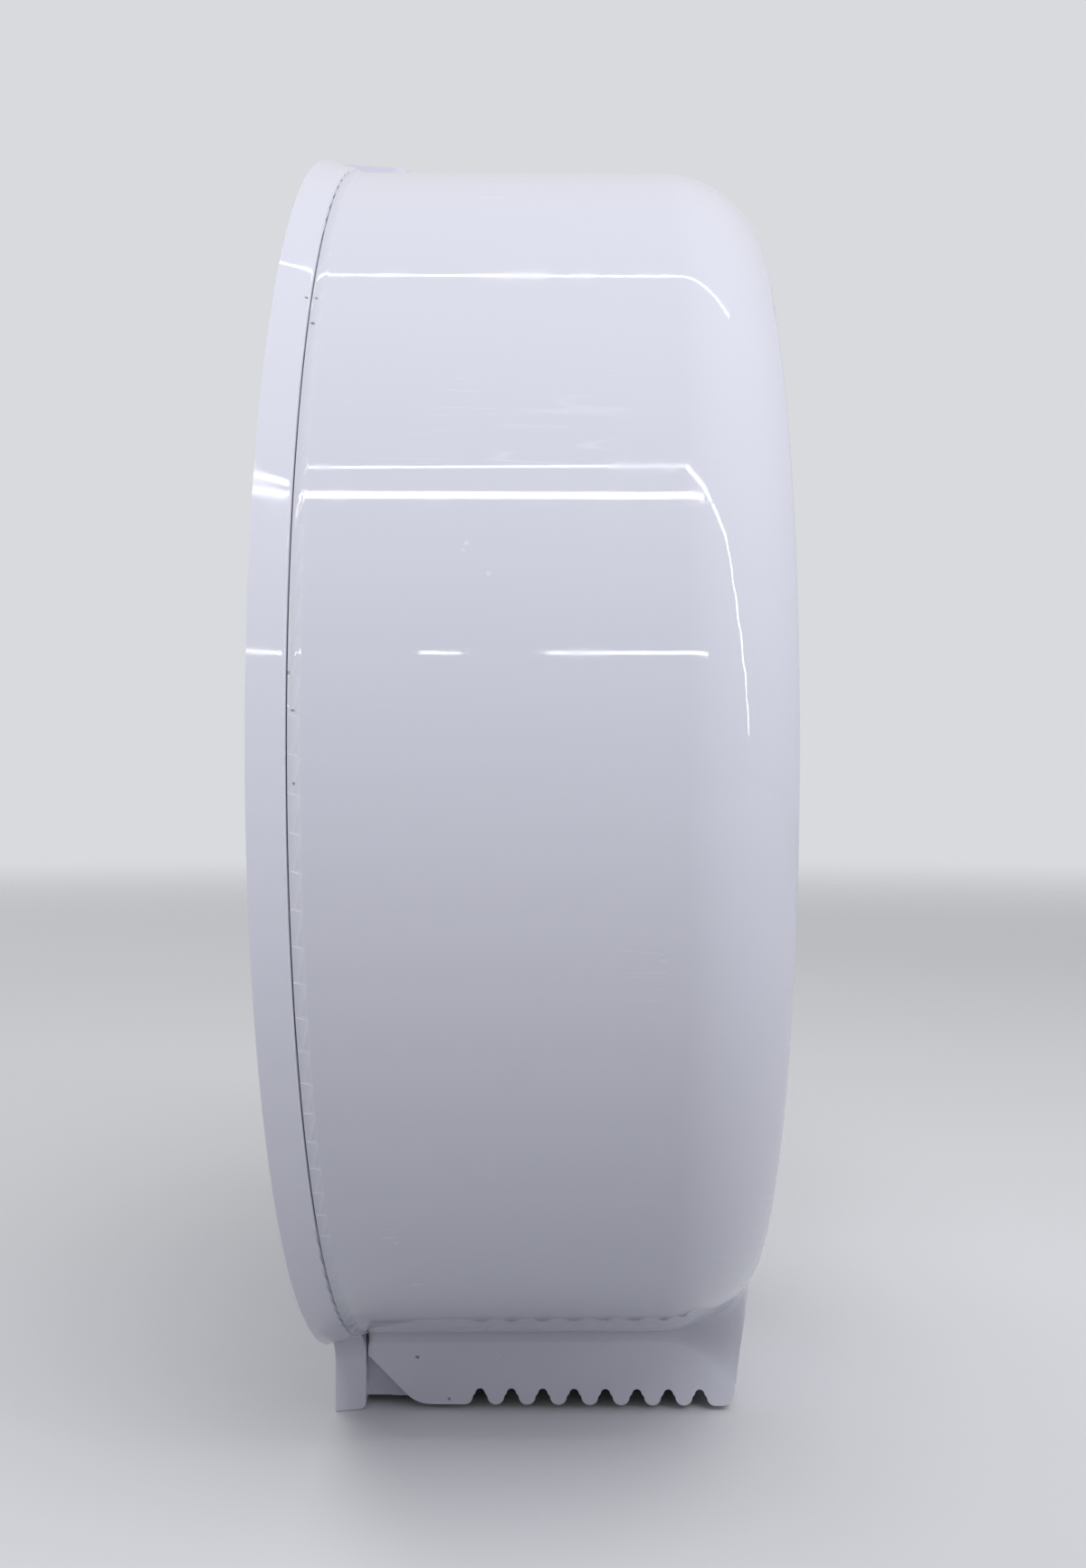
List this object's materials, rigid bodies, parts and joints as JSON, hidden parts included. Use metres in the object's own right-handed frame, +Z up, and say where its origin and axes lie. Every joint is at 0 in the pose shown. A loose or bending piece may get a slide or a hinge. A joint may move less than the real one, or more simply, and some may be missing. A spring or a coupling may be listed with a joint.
{
  "type": "jumbo toilet roll dispenser",
  "caption": "Wall hung dispenser for a jumbo toilet roll: round hinged drum cover on a back plate, turning roll hub inside, and a chute below with toothed tear edges.",
  "frame": {"origin": "centre of the wall screw pattern, on the wall plane and on the drum's axis", "axes": "+Y into the wall and -Y out of it, towards the drum's face; +Z up; +X to the right as the wall is faced"},
  "size_m": [0.344, 0.116, 0.3602],
  "materials": {
    "white_abs": "high gloss white ABS",
    "grey_abs": "moulded light grey ABS",
    "smoked_polycarbonate": "smoked clear polycarbonate",
    "acetal": "natural acetal",
    "nylon": "dark nylon",
    "plated_steel": "bright zinc plate",
    "chromed_zinc": "chromed die casting"
  },
  "bodies": {
    "frame": {"back_plate": "white_abs", "hinge_pin_left": "plated_steel", "hinge_pin_right": "plated_steel", "spindle_bracket": "grey_abs", "bracket_screws": "plated_steel", "thrust_washer": "nylon", "end_washer": "plated_steel", "hub_screw": "plated_steel", "lock_body": "chromed_zinc", "lock_clip": "plated_steel"},
    "cover": {"front_cover": "white_abs", "level_window": "smoked_polycarbonate", "window_frame": "white_abs", "window_screws": "plated_steel", "cover_keeper": "plated_steel", "keeper_screws": "plated_steel"},
    "hub": {"roll_hub": "grey_abs", "rear_bush": "acetal", "front_bush": "acetal", "hub_cap": "white_abs"},
    "lock": {"lock_barrel": "chromed_zinc", "lock_cam": "plated_steel", "cam_screw": "plated_steel"}
  },
  "joints": [
    {"name": "cover_hinge", "type": "hinge", "parent": "frame", "child": "cover", "pos_m": [0, -0.027, -0.1675], "axis": [1, 0, 0], "range_deg": [0, 90]},
    {"name": "hub_spin", "type": "hinge", "parent": "frame", "child": "hub", "pos_m": [0, -0.05, 0], "axis": [0, 1, 0], "continuous": true},
    {"name": "lock_turn", "type": "hinge", "parent": "frame", "child": "lock", "pos_m": [0, -0.012, 0.16], "axis": [0, 0, -1], "range_deg": [0, 90]}
  ]
}
